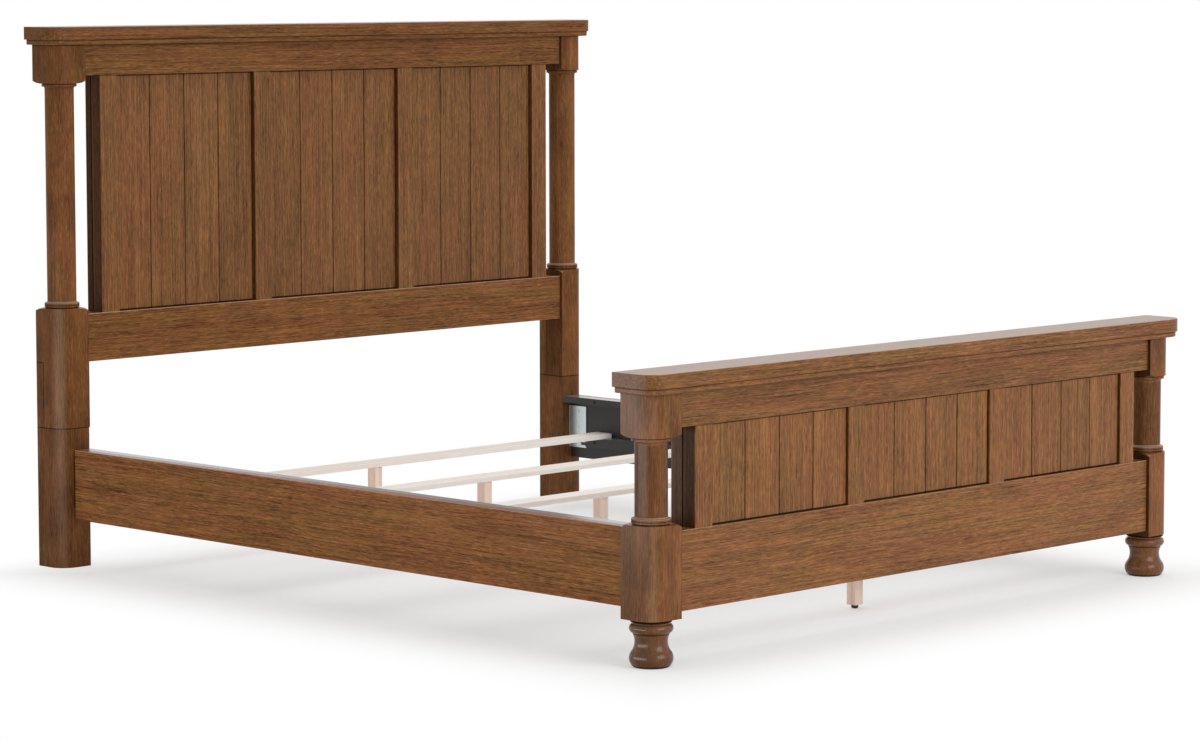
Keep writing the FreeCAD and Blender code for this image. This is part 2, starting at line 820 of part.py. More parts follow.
head = End(head_y, head_post_top, head_bottom_rail_bottom, head_bottom_rail_top,
           head_plank_relief, head_rear_stile_thickness)
foot = End(foot_y, foot_post_top, foot_bottom_rail_bottom, foot_bottom_rail_top,
           foot_plank_relief, foot_rear_stile_thickness)


# Side rails. The left one is made, and mirrored for the right

def rail_screw_places():
    """Where the screws through the batten and the ledge are along the rail."""
    first = rail_end_foot + rail_screw_end_distance
    last = rail_end_head - rail_screw_end_distance
    step = (last - first) / (rail_screw_count - 1)
    return [first + index * step for index in range(rail_screw_count)]


batten_middle_z = side_rail_top - batten_height / 2
ledge_middle_z = ledge_top - ledge_height / 2
rail_screw_heights = (batten_middle_z, ledge_middle_z)


def rail_screw(y, z, room):
    """A screw from the batten's inner face into the board, or the hole for it."""
    face = -clear_width / 2
    head_x = face - rail_screw_sink
    neck = head_x - rail_screw_head_height
    tip = -board_inner_x - rail_screw_grip
    head_end = V(face + cut_overrun, y, z) if room > 0 else V(head_x, y, z)
    head = rod(rail_screw_head_diameter + 2 * room, head_end, V(neck, y, z))
    return head.fuse(rod(rail_screw_diameter + 2 * room, V(neck, y, z), V(tip - room, y, z)))


def side_rail_board():
    """The oak board of the left side rail."""
    board = eased_box(-board_inner_x - board_thickness, -board_inner_x, rail_end_foot,
                      rail_end_head, side_rail_bottom, side_rail_top, side_rail_edge_radius)
    cuts = [rail_screw(y, z, hole_clearance) for y in rail_screw_places()
            for z in rail_screw_heights]
    for side in (-1, 1):
        cuts += plate_screw_holes(side, plate_screw_diameter + 2 * hole_clearance)
    return cut_all(board, cuts)


def rail_batten():
    """The batten along the board's top edge."""
    batten = eased_box(-board_inner_x, -clear_width / 2, rail_end_foot, rail_end_head,
                       side_rail_top - batten_height, side_rail_top, batten_edge_radius)
    return cut_all(batten, [rail_screw(y, batten_middle_z, hole_clearance)
                            for y in rail_screw_places()])


def rail_ledge():
    """The ledge that carries the slats."""
    ledge = eased_box(-board_inner_x, -clear_width / 2, rail_end_foot + ledge_end_gap,
                      rail_end_head - ledge_end_gap, ledge_top - ledge_height, ledge_top,
                      batten_edge_radius)
    cuts = [rail_screw(y, ledge_middle_z, hole_clearance) for y in rail_screw_places()]
    cuts += [slat_screw(y, hole_clearance) for y in slat_places()]
    return cut_all(ledge, cuts)


def plate_screws():
    """The screws of the hook plates and of the slotted plates, on the left."""
    made = []
    face = -(board_inner_x - plate_thickness)
    for side in (-1, 1):
        for y, z in plate_screw_places(side):
            head = rod(plate_screw_head_diameter, V(face + plate_screw_head_height, y, z),
                       V(face, y, z))
            shank = rod(plate_screw_diameter, V(face, y, z),
                        V(-board_inner_x - plate_screw_grip + hole_clearance, y, z))
            made.append(head.fuse(shank))
        for start, end in slot_screw_lines(side):
            shank = rod(plate_screw_diameter, start, V(end.x, end.y - side * hole_clearance, end.z))
            made.append(slot_screw_head(side, start, 0).fuse(shank))
    return made


# Slats, their middle legs and the levelling glides

def slat_places():
    """The middle of each slat along the bed, from the foot."""
    first = foot_y + post_half + slat_end_distance
    return [first + index * slat_pitch for index in range(slat_count)]


slat_screw_x = -(clear_width / 2 + batten_depth / 2)


def slat_screw(y, room):
    """The screw through a slat's left end into the ledge, or the hole for it."""
    neck = slat_top - slat_screw_head_height
    tip = ledge_top - slat_screw_grip
    head_top = slat_top + cut_overrun if room > 0 else slat_top
    head = rod(slat_screw_head_diameter + 2 * room, V(slat_screw_x, y, neck),
               V(slat_screw_x, y, head_top))
    return head.fuse(rod(slat_screw_diameter + 2 * room, V(slat_screw_x, y, tip - room),
                         V(slat_screw_x, y, neck)))


cap_bottom = slat_top - leg_bolt_cap_height


def leg_bolt(y, room):
    """The bolt through a slat's middle into its leg, or the hole for it."""
    neck = cap_bottom - leg_bolt_head_height
    head = rod(leg_bolt_head_diameter + 2 * room, V(0, y, neck), V(0, y, cap_bottom))
    shank = rod(leg_bolt_diameter + 2 * room, V(0, y, ledge_top - leg_bolt_depth - room),
                V(0, y, neck))
    return head.fuse(shank)


def leg_bolt_cap(y):
    """The cap over the bolt, let in flush with the slat."""
    cap = rod(leg_bolt_cap_diameter, V(0, y, cap_bottom), V(0, y, slat_top))
    rim = [edge for edge in cap.Edges if edge.BoundBox.ZMin > slat_top - leg_bolt_cap_round]
    return cap.makeFillet(leg_bolt_cap_round, rim)


def leg_bolt_recess(y):
    """The recess in the slat for the cap."""
    return rod(leg_bolt_cap_diameter + 2 * hole_clearance, V(0, y, cap_bottom),
               V(0, y, slat_top + cut_overrun))


def slat(y):
    """One slat across the bed."""
    half = slat_width / 2
    board = eased_box(-slat_half_length, slat_half_length, y - half, y + half, ledge_top,
                      slat_top, slat_edge_radius)
    screw = slat_screw(y, hole_clearance)
    return cut_all(board, [screw, mirrored(screw), leg_bolt(y, hole_clearance),
                           leg_bolt_recess(y)])


def glide_bore(y):
    """The hole up the leg for the glide's stem, over the insert."""
    top = glide_stem_height + glide_bore_extra
    return rod(glide_stem_diameter + 2 * glide_bore_clearance, V(0, y, 0), V(0, y, top))


def insert_outer(y, room):
    """The outside of the threaded insert: a sleeve with a flange under the leg."""
    flange = rod(insert_flange_diameter + 2 * room,
                 V(0, y, slat_leg_bottom - room), V(0, y, slat_leg_bottom + insert_flange_thickness))
    sleeve = rod(insert_diameter + 2 * room, V(0, y, slat_leg_bottom),
                 V(0, y, slat_leg_bottom + insert_length + room))
    return flange.fuse(sleeve)


def leg_insert(y):
    """The insert that the glide screws into."""
    bore = rod(glide_stem_diameter + 2 * glide_running_clearance, V(0, y, 0),
               V(0, y, glide_stem_height))
    return insert_outer(y, 0).cut(bore)


def slat_leg(y):
    """The square leg under the middle of a slat."""
    half = slat_leg_width / 2
    leg = eased_box(-half, half, y - half, y + half, slat_leg_bottom, ledge_top,
                    slat_leg_edge_radius)
    return cut_all(leg, [leg_bolt(y, hole_clearance), glide_bore(y),
                         insert_outer(y, hole_clearance)])


def leg_glide(y):
    """The levelling glide: a round-edged pad on a stem, screwed right up to the leg."""
    pad_top = slat_leg_bottom - seat_gap
    base = (glide_pad_bottom_diameter / 2, 0)
    side = (glide_pad_diameter / 2, pad_top - glide_pad_upright_height)
    outline = [(0, 0), base, quarter(base, side, True), (glide_pad_diameter / 2, pad_top),
               (glide_stem_diameter / 2, pad_top),
               (glide_stem_diameter / 2, glide_stem_height), (0, glide_stem_height)]
    return turned(outline, 0, y)


# The pieces

os.makedirs("parts", exist_ok=True)

for name, made in (("head_post", head_post()), ("head_leg", head_leg()),
                   ("foot_post", foot_post()), ("foot_bun", bun_foot()),
                   ("side_rail", side_rail_board()), ("rail_batten", rail_batten()),
                   ("rail_ledge", rail_ledge())):
    save(name + "_left", made)
    save(name + "_right", mirrored(made))

for name, end, post_y, top in (("head", head, head_y, head_height),
                               ("foot", foot, foot_y, foot_height)):
    save(name + "_crown_board", crown_board(post_y, top))
    save(name + "_crown_moulding", crown_moulding(post_y, top))
    save(name + "_top_rail", end.top_rail())
    save(name + "_bottom_rail", end.bottom_rail())
    save(name + "_stiles", end.stiles())
    save(name + "_rear_stiles", end.rear_stiles())
    save(name + "_core_panel", end.core_panel())
    for bay in range(bay_count):
        save(name + "_planks_bay_" + str(bay + 1), end.planks(bay))

hook_plates = [hook_plate(side) for side in (-1, 1)]
save("hook_plates_left", hook_plates)
save("hook_plates_right", [mirrored(plate) for plate in hook_plates])
slot_plates = [slot_plate(side) for side in (-1, 1)]
save("slot_plates", slot_plates + [mirrored(plate) for plate in slot_plates])
screws = plate_screws()
save("plate_screws", screws + [mirrored(screw) for screw in screws])
screws = [rail_screw(y, z, 0) for y in rail_screw_places() for z in rail_screw_heights]
save("rail_screws", screws + [mirrored(screw) for screw in screws])
save("crown_dowels", crown_dowels())

bolts = [bun_bolt(0)]
for z in lap_bolt_heights():
    start, end = lap_bolt_line(z)
    near = V(start.x, start.y + lap_bolt_head_height, start.z)
    far = V(end.x, end.y + hole_clearance, end.z)
    bolts.append(rod(lap_bolt_head_diameter, near, start).fuse(rod(lap_bolt_diameter, start, far)))
save("frame_bolts", bolts + [mirrored(bolt) for bolt in bolts])

for number, y in enumerate(slat_places(), 1):
    save("slat_" + str(number), slat(y))
    save("slat_leg_" + str(number), slat_leg(y))
    save("leg_glide_" + str(number), leg_glide(y))
save("leg_inserts", [leg_insert(y) for y in slat_places()])
save("leg_bolts", [leg_bolt(y, 0) for y in slat_places()])
save("leg_bolt_caps", [leg_bolt_cap(y) for y in slat_places()])
screws = [slat_screw(y, 0) for y in slat_places()]
save("slat_screws", screws + [mirrored(screw) for screw in screws])
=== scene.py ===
# %% [markdown]
# A poster bed in brown oak.
# The real bed is a kit of boards, turned posts and hardware, and its shapes come from the packed CAD model.
# Blender could rebuild each piece, but then the pieces would no longer fit each other. So the model is loaded
# as it is, nothing in it is moved, and this script gives it what CAD can't: timber, paint, plated steel,
# light and a camera.
# The box of the CAD model is kept.

# %% Load the packed bed
import math

import bpy
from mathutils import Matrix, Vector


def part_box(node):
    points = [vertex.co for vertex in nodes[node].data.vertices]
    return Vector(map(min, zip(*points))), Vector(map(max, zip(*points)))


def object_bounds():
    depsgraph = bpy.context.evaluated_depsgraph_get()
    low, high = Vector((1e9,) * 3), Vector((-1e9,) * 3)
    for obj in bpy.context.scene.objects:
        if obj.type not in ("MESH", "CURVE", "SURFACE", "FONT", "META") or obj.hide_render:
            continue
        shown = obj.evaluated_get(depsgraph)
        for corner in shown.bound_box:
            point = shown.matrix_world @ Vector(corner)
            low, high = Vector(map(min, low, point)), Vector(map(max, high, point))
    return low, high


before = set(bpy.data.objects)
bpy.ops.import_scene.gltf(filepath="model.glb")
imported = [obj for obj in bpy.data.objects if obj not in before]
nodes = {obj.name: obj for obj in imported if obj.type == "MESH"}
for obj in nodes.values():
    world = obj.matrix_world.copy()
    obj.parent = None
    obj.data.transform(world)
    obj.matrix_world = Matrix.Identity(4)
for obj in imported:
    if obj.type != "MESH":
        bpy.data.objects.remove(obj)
cad_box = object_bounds()
size = cad_box[1] - cad_box[0]
print("loaded", len(nodes), "nodes, box in metres:", [round(side, 3) for side in size])

# %% [markdown]
# The photograph is taken from about 1.7 m above the floor, at the left of the footboard, with a long lens.
# A camera can be aimed by hand until it looks right, or solved from points that are known in the model and in
# the picture. This one was solved, and it holds the known points to about two pixels of 1200. Its shift is
# kept small, because the other views keep it too, so it tilts a little and stands at 1.66 m instead.

# %% The camera
camera_place = (-7.5602, -7.4724, 1.6579)
camera_tilt = 1.482898
camera_turn = -0.806152
lens_mm = 116.586
lens_shift = -0.05

camera = bpy.data.objects.new("camera", bpy.data.cameras.new("camera"))
camera.location = camera_place
camera.rotation_euler = (camera_tilt, 0, camera_turn)
camera.data.lens = lens_mm
camera.data.shift_x = lens_shift
camera.data.shift_y = lens_shift
scene = bpy.context.scene
scene.collection.objects.link(camera)
scene.camera = camera
scene.view_settings.view_transform = "Standard"
print("camera at", camera_place, "with a lens of", lens_mm, "mm")

# %% [markdown]
# The bed stands in a white studio. Soft light comes from all round, a wide lamp hangs above and one stands in
# front of the footboard. The upper one is seven metres across, so that the shadows of the slats melt into
# each other. Small lamps would give hard shadows, and an image of a studio would need a file, so large area
# lamps are used. Their strength is given as the brightness of the lamp's face, because that is what a glossy
# corner mirrors.
# A long low panel at the left is only mirrored: it draws the upright sheen on the foot's column and on the
# rounded corners of the posts' blocks. Its place was found by following the reflection from the sheen in the
# photograph back into the room, and it is low, because the headboard's tall columns show no sheen.

# %% The lamps
def lamp(name, place, target, width, height, brightness):
    """Hangs a soft rectangular lamp that faces a point. The camera doesn't see it."""
    light = bpy.data.lights.new(name, "AREA")
    light.shape = "RECTANGLE"
    light.size = width
    light.size_y = height
    light.energy = brightness * math.pi * width * height
    hung = bpy.data.objects.new(name, light)
    scene.collection.objects.link(hung)
    hung.location = place
    aim = [t - p for t, p in zip(target, place)]
    flat = math.hypot(aim[0], aim[1])
    hung.rotation_euler = (math.atan2(flat, -aim[2]), 0, math.atan2(-aim[0], aim[1]))
    hung.visible_camera = False
    print(name, "lamp,", round(light.energy), "W")
    return hung


lamp("overhead", place=(0.8, 0.8, 5.0), target=(0, 0, 0), width=7.0, height=7.0, brightness=0.97)
lamp("front", place=(0.2, -6.3, 2.6), target=(0, 0, 0.6), width=4.0, height=3.0, brightness=4.6)
sheen_panel = lamp("sheen", place=(-2.90, 0.10, 0.27), target=(0, 0.10, 0.27), width=3.6, height=0.5,
                   brightness=7.0)
sheen_panel.visible_diffuse = False

# %% [markdown]
# A shader is a sum of small steps, and in Blender each step is a node. Nodes can be wired by hand in the
# editor, but in a script that takes many lines for a short formula. So one small class wraps a socket and
# lets Python's own operators add the Math nodes: 1 - mask is a subtraction node. Colours and vectors have a
# helper of their own, because a Math node would turn a colour grey.

# %% A socket that can be reckoned with
class Field:
    """A value that varies over a surface: one socket of a node tree."""

    def __init__(self, tree, socket=None):
        self.tree = tree
        self.socket = socket

    def node(self, kind, settings, inputs, output=0):
        """Adds a node: first its settings, then the values or links of its sockets."""
        made = self.tree.nodes.new(kind)
        for name, value in settings.items():
            setattr(made, name, value)
        for name, value in inputs.items():
            if isinstance(value, Field):
                self.tree.links.new(value.socket, made.inputs[name])
            else:
                made.inputs[name].default_value = value
        return Field(self.tree, made.outputs[output] if made.outputs else None)

    def other(self, output):
        """Another output of the same node."""
        return Field(self.tree, self.socket.node.outputs[output])

    def reckon(self, operation, first, second):
        return self.node("ShaderNodeMath", {"operation": operation}, {0: first, 1: second})

    def __add__(self, value):
        return self.reckon("ADD", self, value)

    def __sub__(self, value):
        return self.reckon("SUBTRACT", self, value)

    def __rsub__(self, value):
        return self.reckon("SUBTRACT", value, self)

    def __mul__(self, value):
        return self.reckon("MULTIPLY", self, value)

    def __truediv__(self, value):
        return self.reckon("DIVIDE", self, value)

    def __abs__(self):
        return self.node("ShaderNodeMath", {"operation": "ABSOLUTE"}, {0: self})

    def __floor__(self):
        return self.node("ShaderNodeMath", {"operation": "FLOOR"}, {0: self})

    __radd__ = __add__
    __rmul__ = __mul__


print("a field knows:", [name for name, kind in vars(Field).items() if callable(kind)])

# %% [markdown]
# All finishes share a few small helpers. The first ones are for colours as they are read off a picture, for a
# soft step between two values, for a thin line, and for mixing or shading a colour.

# %% Colours and soft steps
def paint(red, green, blue):
    """A colour given in the usual 0 to 255 numbers, as the linear values that shaders use."""
    parts = [part / 255 for part in (red, green, blue)]
    return tuple(part / 12.92 if part < 0.04045 else ((part + 0.055) / 1.055) ** 2.4 for part in parts) + (1,)


def ramp(value, start, end):
    """A soft step: 0 at start, 1 at end."""
    return value.node("ShaderNodeMapRange", {"interpolation_type": "SMOOTHSTEP"},
                      {"Value": value, "From Min": start, "From Max": end})


def near(value, place, reach):
    """1 at a place and 0 further from it than the reach: a thin line."""
    return ramp(abs(value - place), reach, reach * 0.4)


def larger(first, second):
    return first.reckon("MAXIMUM", first, second)


def mixed(first, second, amount):
    """Two colours mixed; amount 1 gives the second."""
    field = amount if isinstance(amount, Field) else first
    return field.node("ShaderNodeMix", {"data_type": "RGBA"}, {0: amount, 6: first, 7: second}, 2)


def shaded(colour, factor):
    """A colour made lighter or darker by a varying factor."""
    return colour.node("ShaderNodeVectorMath", {"operation": "SCALE"}, {0: colour, "Scale": factor})


print("mid brown in linear values:", [round(part, 3) for part in paint(117, 78, 49)])

# %% [markdown]
# The others start and close a material, tell where a point lies on the bed and how a face looks, and make
# noise. A flat picture would have to be laid round each piece. This noise takes the place in metres, so it
# fits every shape, its grains have real sizes, and they can be longer in one direction.

# %% Places and noise
def begin(name):
    """A new, empty material and the field that its first node starts from."""
    material = bpy.data.materials.new(name)
    material.use_nodes = True
    material.node_tree.nodes.clear()
    return material, Field(material.node_tree)


def surface(field, shader):
    field.node("ShaderNodeOutputMaterial", {}, {"Surface": shader})


def place_axes(field):
    """The point on the bed, in metres from the floor under its middle."""
    spot = field.node("ShaderNodeTexCoord", {}, {}, "Object")
    parts = spot.node("ShaderNodeSeparateXYZ", {}, {"Vector": spot})
    return [parts, parts.other("Y"), parts.other("Z")]


def facing_axes(field):
    """How far a face looks along x, y and z: 1 straight along the axis, 0 across it, -1 the other way."""
    facing = field.node("ShaderNodeNewGeometry", {}, {}, "Normal")
    parts = facing.node("ShaderNodeSeparateXYZ", {}, {"Vector": facing})
    return [parts, parts.other("Y"), parts.other("Z")]


def noise(axes, scales, detail=2.0, roughness=0.5):
    """Noise from 0 to 1 whose grains per metre differ along the three axes."""
    scaled = [axis * scale for axis, scale in zip(axes, scales)]
    place = axes[0].node("ShaderNodeCombineXYZ", {}, dict(enumerate(scaled)))
    return place.node("ShaderNodeTexNoise", {},
                      {"Vector": place, "Scale": 1.0, "Detail": detail, "Roughness": roughness})


print("helpers for places, facings and noise are ready")

# %% [markdown]
# The floor is white and only carries the soft shadow under the bed. A white room would do, but its far walls
# would have to be lit too. Here the floor and the world turn into plain white where the camera or a
# reflection looks at them, so no more light falls on the bed. Under the bed the floor stays matt to keep the
# shadow, which fades around it, and sooner behind the headboard, as in the photograph.

# %% Floor and world
room_light = 0.48
shadow_lift = 0.38
fade_start = -0.10
fade_end = 0.38
behind_head = 0.2
floor_reach = 40.0
floor_colour = (0.93, 0.93, 0.93, 1)
plain_white = (1, 1, 1, 1)


def seen_directly(field):
    """1 for what the camera, a glossy surface or glass sees, 0 for light that falls on things."""
    rays = field.node("ShaderNodeLightPath", {}, {}, "Is Camera Ray")
    return larger(larger(rays, rays.other("Is Glossy Ray")), rays.other("Is Transmission Ray"))


world = bpy.data.worlds.new("white studio")
world.use_nodes = True
world.node_tree.nodes.clear()
start = Field(world.node_tree)
strength = room_light + seen_directly(start) * (1 - room_light)
sky = start.node("ShaderNodeBackground", {}, {"Color": plain_white, "Strength": strength})
start.node("ShaderNodeOutputWorld", {}, {"Surface": sky})
scene.world = world

floor_mesh = bpy.data.meshes.new("studio floor")
corners = [(x * floor_reach, y * floor_reach, 0) for x, y in ((-1, -1), (1, -1), (1, 1), (-1, 1))]
floor_mesh.from_pydata(corners, [], [(0, 1, 2, 3)])
floor = bpy.data.objects.new("studio_floor", floor_mesh)
scene.collection.objects.link(floor)
floor_finish, start = begin("studio floor")
x, y, z = place_axes(start)
outside_x = abs(x) - size.x / 2
outside_y = larger(y - (size.y / 2 - behind_head), abs(y) - size.y / 2)
outside = larger(outside_x, outside_y)
matt = start.node("ShaderNodeBsdfDiffuse", {}, {"Color": floor_colour})
glow = start.node("ShaderNodeEmission", {}, {"Color": plain_white, "Strength": 1.0})
fade = (shadow_lift + ramp(outside, fade_start, fade_end) * (1 - shadow_lift)) * seen_directly(start)
surface(start, start.node("ShaderNodeMixShader", {}, {0: fade, 1: matt, 2: glow}))
floor.data.materials.append(floor_finish)
print("floor reaches", floor_reach, "m each way")

# %% [markdown]
# The battens and ledges are painted charcoal, and so is the inner face of each side rail's board, which
# nobody sees once a mattress lies on the bed. The paint is nearly matt. Its level tops get a glossier coat
# and a paler colour, a painted sheen of the light that they catch at a low angle. A second, paler paint on
# the tops would need the faces picked out one by one, while the way a face looks is known at every point.

# %% Charcoal paint
dark_charcoal = paint(42, 40, 39)
thin_charcoal = paint(56, 53, 52)
rubbed_charcoal = paint(118, 118, 121)
cloud_grains = (30, 30, 30)
speck_grains = (700, 700, 700)


def level_top(upwards):
    """1 on a level top, 0 on faces that lean by more than 25 degrees."""
    return ramp(upwards, 0.90, 0.99)


def charcoal_paint(field, spot):
    uneven = noise(spot, cloud_grains, 3.0)
    speck = noise(spot, speck_grains)
    top = level_top(facing_axes(field)[2])
    # the paler colour on level tops is a painted sheen, added over the glossier coat
    colour = mixed(mixed(dark_charcoal, thin_charcoal, uneven), rubbed_charcoal, top)
    bump = field.node("ShaderNodeBump", {}, {"Strength": 0.2, "Distance": 0.0002, "Height": speck})
    return field.node("ShaderNodeBsdfPrincipled", {}, {
        "Base Color": colour, "Roughness": 0.30 + uneven * 0.12, "Normal": bump, "Specular IOR Level": 0.3,
        "Coat Weight": top, "Coat Roughness": 0.25, "Coat IOR": 1.45})


charcoal, start = begin("charcoal paint")
surface(start, charcoal_paint(start, place_axes(start)))
print("charcoal:", len(charcoal.node_tree.nodes), "nodes")

# %% [markdown]
# The oak is stained a warm middle brown under a satin lacquer. Close up it shows long fine hairlines, fibres,
# short pores, bands and flecks that lean to olive, red or gold, and soft patches where the stain took more.
# A photograph of a board would need an image file and would stretch round the turned posts. Noise in the
# space of the piece runs through it as real grain does, so each piece only names the direction of its grain.
# The boards differ in their figure: planks and rails show hairlines and fibres, and the turned posts are
# smooth, patchy and a little redder. A figure says how strong each of these is.

# %% Figures of the grain
plank_figure = {"hairline": 1.2, "fibre": 1.6, "pore": 0.42, "patch": 0.5, "red": 0.03}
rail_figure = {"hairline": 1.5, "fibre": 1.5, "pore": 0.38, "patch": 0.6, "red": 0.04}
turned_figure = {"hairline": 0.5, "fibre": 1.2, "pore": 0.34, "patch": 1.8, "red": 0.14}
bun_figure = {"hairline": 0.5, "fibre": 1.2, "pore": 0.05, "patch": 1.4, "red": 0.14}

# grains per metre along the grain, across it and in depth, then the layers of finer noise and their strength
grain_layers = {
    "hairline": ((2.5, 280, 280), 1.0, 0.5),
    "fibre": ((19, 430, 430), 2.0, 0.6),
    "pore": ((50, 620, 620), 1.0, 0.5),
    "fleck": ((45, 230, 230), 1.0, 0.5),
    "band": ((1.4, 34, 34), 2.0, 0.5),
    "hue": ((2.2, 26, 26), 2.0, 0.5),
    "patch": ((8, 16, 16), 1.0, 0.5),
}
print("layers of the grain:", list(grain_layers))

# %% [markdown]
# Two rails cut from the same spot of a log would look alike. So each piece has a number that moves it to
# another spot, and each board of a node that holds several gets a chance value, which moves it too and makes
# it a little lighter or darker. The grain also sways, or it would look ruled.

# %% Where a piece lies in the log
grain_order = {"x": (0, 1, 2), "y": (1, 0, 2), "z": (2, 0, 1)}
piece_steps = (3.17, 0.73, 1.91)
board_steps = (9, 2)
board_contrast = 0.10
sway_scale = (3.0, 8, 8)


def grain_axes(field, grain, number, boards, sway):
    """The point on the bed, the point along, across and into the grain, and the board's own brightness."""
    spot = place_axes(field)
    order = grain_order[grain]
    along, across, depth = [spot[axis] + number * step for axis, step in zip(order, piece_steps)]
    board_tone = 0.0
    if boards:
        axis, first, width = boards
        index = ((spot[axis] - first) / width).__floor__()
        chance = field.node("ShaderNodeTexWhiteNoise", {"noise_dimensions": "1D"},
                            {"W": index + number * 10 + 0.5})
        along = along + chance * board_steps[0]
        across = across + chance * board_steps[1]
        board_tone = (chance - 0.5) * board_contrast
    bend = (noise([along, across, depth], sway_scale) - 0.5) * sway
    return spot, [along, across + bend, depth + bend], board_tone


print("pieces lie", piece_steps, "m apart in the log")

# %% [markdown]
# The layers add up to one tone around 1, and the stain is multiplied by it. The stain itself runs from olive
# to red, with gold in the flecks and in the palest bands. One brown made lighter and darker would be simpler,
# but it looks like paint, because real stain changes its hue with the grain.

# %% Tone and stain
olive_oak = paint(120, 82, 43)
red_oak = paint(125, 78, 45)
golden_oak = paint(150, 108, 64)
mean_pores = 0.36
patch_contrast = 0.6
band_contrast = 0.5
fleck_gold = 0.38
band_gold = 0.25

# the values of the noise at which each of these starts and is full
pore_range = (0.56, 0.38)
lean_range = (0.25, 0.75)
gold_fleck_range = (0.50, 0.72)
gold_band_range = (0.56, 0.76)


def grain_tone(layer, figure):
    """The brightness of the grain. The pores darken it, so their mean is added again."""
    tone = 1.0 + mean_pores * figure["pore"] - ramp(layer["pore"], *pore_range) * figure["pore"]
    tone = tone + (layer["patch"] - 0.5) * (patch_contrast * figure["patch"])
    tone = tone + (layer["band"] - 0.5) * band_contrast
    return tone + (layer["hairline"] - 0.5) * figure["hairline"] + (layer["fibre"] - 0.5) * figure["fibre"]


def stain_colour(layer, figure, board_tone):
    """The stain runs from olive to red. Flecks and the palest bands turn it to gold."""
    lean = ramp(layer["hue"] + board_tone + figure["red"], *lean_range)
    gold = larger(ramp(layer["fleck"], *gold_fleck_range) * fleck_gold,
                  ramp(layer["band"], *gold_band_range) * band_gold)
    return mixed(mixed(olive_oak, red_oak, lean), golden_oak, gold)


print("colours of the stain:", [[round(part, 3) for part in colour] for colour in (olive_oak, red_oak)])

# %% [markdown]
# Seams, grooves and the faces behind the front are painted darker: painted shade, because little light
# reaches them. The shade could come from the lamps alone, but these joints are finer than a pixel. Where a
# face turns upwards over a rounded arris, the colour is painted paler, a painted highlight of the light from
# above, and the big round corners of some of the posts' blocks get a painted sheen.
# The lacquer is the shader's coat. Its weight drops in the seams, because a seam mirrors nothing, and it is
# full on level tops, which are polished.

# %% Oak
painted_highlight = paint(222, 198, 176)

# the painted highlight on an arris starts as its face looks this far up, and ends again towards a level top
highlight_starts = (0.15, 0.50)
highlight_ends = (0.98, 0.80)
# the painted sheen on a round corner starts as its face looks this far towards the bed's outer front corner
corner_range = (0.93, 0.998)
paint_edge = 0.0003


def light_left(lines):
    """What several lines leave of the light. Each is a mask and the share that stays where the mask is 1."""
    left_over = 1.0
    for mask, left in lines:
        left_over = (1 - mask * (1 - left)) * left_over
    return left_over


def oak(name, grain, number, figure, boards=None, brightness=1.0, sway=0.006, arris=0.4, lacquer=0.6,
        satin=0.28, seams=None, stains=None, rub=None, back=None):
    """Stained oak with the grain along x, y or z.
    boards = (axis, start, width) tells the boards of one node apart.
    arris sets the painted highlight on upper arrises, lacquer the coat's weight and satin its roughness.
    The shade and joint lines and the stains give lines for light_left, as functions of x, y and z. The first
    are painted shade in seams, grooves and recesses and the half lap's dark joints, and take the gloss too.
    The corner sheen says, as a function of x, y and z, how strong the painted sheen on a post's big round
    corner is.
    back = (axis, place) paints what lies within that distance of the bed's middle charcoal."""
    material, field = begin(name)
    spot, axes, board_tone = grain_axes(field, grain, number, boards, sway)
    layer = {part: noise(axes, *grains) for part, grains in grain_layers.items()}
    # painted shade: seams, grooves and recesses darken the colour, and so do the half lap's dark joint lines
    open_air = light_left(seams(*spot) if seams else [])
    stained = light_left(stains(*spot) if stains else [])
    tone = (grain_tone(layer, figure) + board_tone) * stained * open_air
    colour = shaded(stain_colour(layer, figure, board_tone), tone * brightness)
    outwards, backwards, upwards = facing_axes(field)
    # painted highlight: arrises that face partly upwards are made paler, as the light from above would show
    # them
    colour = mixed(colour, painted_highlight, ramp(upwards, *highlight_starts) * ramp(upwards, *highlight_ends) * arris)
    # painted sheen: the big round corner of a post is made paler where a glossy corner would mirror the light
    if rub:
        round_corner = ramp((abs(outwards) - backwards) * math.sqrt(0.5), *corner_range)
        colour = mixed(colour, painted_highlight, round_corner * rub(*spot) * (layer["patch"] + layer["fibre"]))
    gloss = lacquer + level_top(upwards) * (1 - lacquer)
    bump = field.node("ShaderNodeBump", {},
                      {"Strength": 0.4 * figure["pore"], "Distance": 0.0003, "Height": layer["fibre"]})
    shader = field.node("ShaderNodeBsdfPrincipled", {}, {
        "Base Color": colour, "Roughness": 0.5 + layer["fibre"] * 0.1, "Normal": bump,
        "Specular IOR Level": 0.02, "Coat Weight": gloss * open_air * open_air, "Coat Roughness": satin,
        "Coat IOR": 1.33})
    if back:
        axis, place = back
        painted = ramp(abs(spot[axis]), place + paint_edge, place - paint_edge)
        paint_shader = charcoal_paint(field, spot)
        shader = field.node("ShaderNodeMixShader", {}, {0: painted, 1: shader, 2: paint_shader})
    surface(field, shader)
    return material


def finish(node, material):
    """Gives a CAD node its material."""
    slots = nodes[node].data.materials
    slots.clear()
    slots.append(material)


def finish_in_oak(node, grain, number, figure, **wood):
    """Gives a CAD node an oak of its own, named after it."""
    finish(node, oak("oak " + node.replace("_", " "), grain, number, figure, **wood))


print("pale arris in linear values:", [round(part, 3) for part in painted_highlight])
